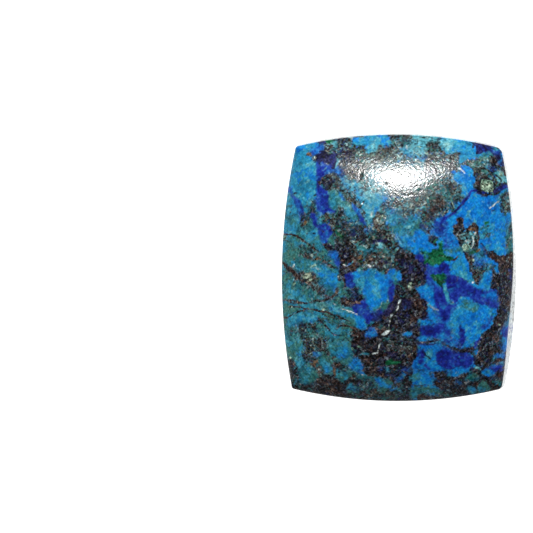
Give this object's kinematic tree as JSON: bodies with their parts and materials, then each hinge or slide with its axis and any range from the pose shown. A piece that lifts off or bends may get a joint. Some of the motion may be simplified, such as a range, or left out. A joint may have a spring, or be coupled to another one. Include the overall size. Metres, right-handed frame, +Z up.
{
  "type": "cabochon",
  "caption": "Cushion-shaped polished cabochon of azurite with chrysocolla, domed above with a low side wall and a flat back.",
  "frame": {"origin": "middle of the flat back's lowest plane, under the middle of the stone's bounding box", "axes": "+Z up out of the dome, +Y along the stone's longer side towards its brighter end, +X across it"},
  "size_m": [0.017, 0.0194, 0.0044],
  "materials": {
    "stone": "polished"
  },
  "bodies": {
    "root": {"cabochon": "stone"}
  },
  "joints": []
}
